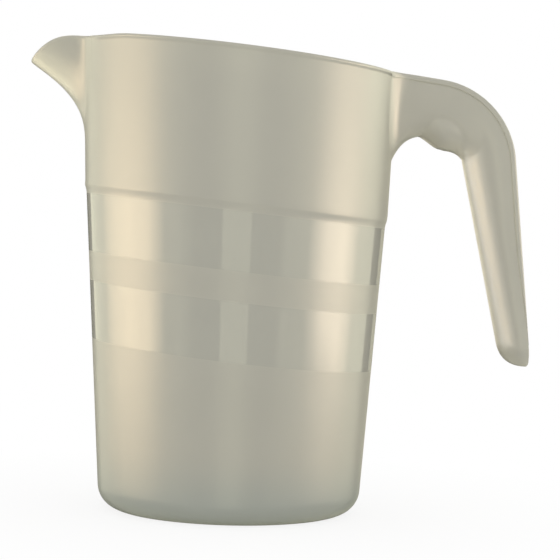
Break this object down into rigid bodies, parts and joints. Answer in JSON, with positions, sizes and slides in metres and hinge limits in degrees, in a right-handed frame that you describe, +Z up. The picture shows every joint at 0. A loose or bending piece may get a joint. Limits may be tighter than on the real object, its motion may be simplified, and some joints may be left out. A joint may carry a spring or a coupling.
{
  "type": "pitcher",
  "caption": "Stackable frosted plastic pitcher with a pouring spout, a hook-shaped trough handle open at its lower end, and slanted polished bands round a tapered body.",
  "frame": {"origin": "centre of the base's level underside, on the body's axis", "axes": "+Z up along the body's axis, +X towards the handle, -X towards the spout"},
  "size_m": [0.2066, 0.1292, 0.1911],
  "materials": {
    "frosted_plastic": "milky translucent plastic, finely frosted by the mould",
    "polished_plastic": "the same milky plastic with a polished, glossy skin"
  },
  "bodies": {
    "root": {"base_pan": "frosted_plastic", "lower_wall": "frosted_plastic", "lower_polished_band": "polished_plastic", "middle_frosted_band": "frosted_plastic", "upper_polished_band": "polished_plastic", "collar": "frosted_plastic", "rim_bead": "frosted_plastic", "spout": "frosted_plastic", "handle_channel": "frosted_plastic", "handle_rail_near": "frosted_plastic", "handle_rail_far": "frosted_plastic", "finger_rest": "frosted_plastic"}
  },
  "joints": []
}
